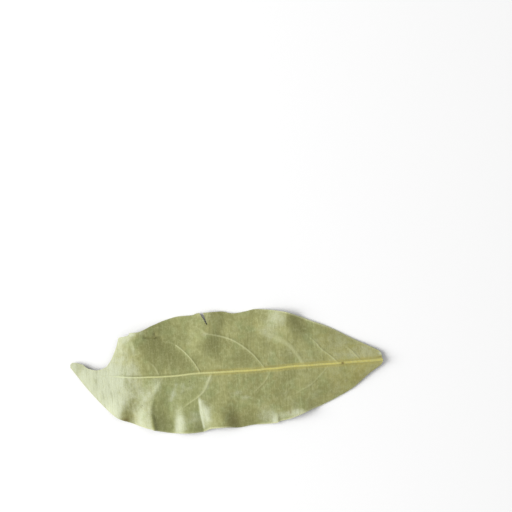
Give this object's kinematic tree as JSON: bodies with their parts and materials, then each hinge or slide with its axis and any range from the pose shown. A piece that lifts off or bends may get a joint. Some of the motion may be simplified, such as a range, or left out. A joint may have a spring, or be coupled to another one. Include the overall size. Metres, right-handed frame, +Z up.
{
  "type": "dried bay leaf",
  "caption": "Dried bay leaf lying underside up: a thin, slightly arched blade with a raised midrib, a pleated margin, a tear and a piece missing beside the tip.",
  "frame": {"origin": "on the surface the leaf lies on, under the middle of its bounding box", "axes": "+X along the midrib from the tip to the base, +Y across the blade towards the torn margin, +Z up, out of the leaf's underside"},
  "size_m": [0.0801, 0.0308, 0.0031],
  "materials": {
    "dried_leaf": "matt pale sage underside with a yellow midrib; the hidden upper face is a darker olive"
  },
  "bodies": {
    "root": {"bay_leaf": "dried_leaf"}
  },
  "joints": []
}
